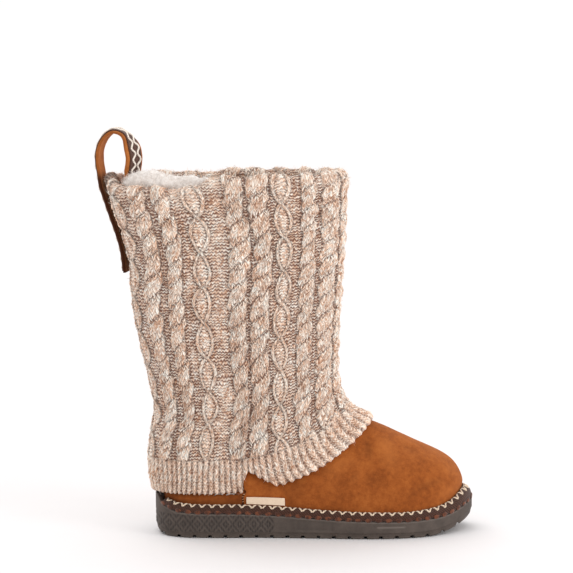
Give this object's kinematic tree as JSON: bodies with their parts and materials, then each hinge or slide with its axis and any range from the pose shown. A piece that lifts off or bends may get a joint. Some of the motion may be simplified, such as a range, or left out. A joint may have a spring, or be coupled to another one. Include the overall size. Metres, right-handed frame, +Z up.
{
  "type": "suede boot with a cable-knit sleeve",
  "caption": "Calf-high right boot: suede foot, moulded sole, cable-knit sleeve over the shaft, braided welt and a pull loop at the back of the collar.",
  "frame": {"origin": "on the floor under the heel seat, 45 mm ahead of the heel's back edge, on the sole's middle line", "axes": "+X towards the toe, -Y towards the outer side of the foot, +Z up"},
  "size_m": [0.2972, 0.0955, 0.3204],
  "materials": {
    "sole_foam": "matt moulded",
    "pile_footbed": "white pile",
    "suede": "brushed suede",
    "marled_yarn": "cable knit",
    "braid": "woven braid",
    "tag_cloth": "woven tape"
  },
  "bodies": {
    "root": {"outsole": "sole_foam", "insole": "pile_footbed", "upper": "suede", "knit_sleeve": "marled_yarn", "welt_braid": "braid", "pull_strap": "suede", "strap_braid": "braid", "side_tag": "tag_cloth"}
  },
  "joints": []
}
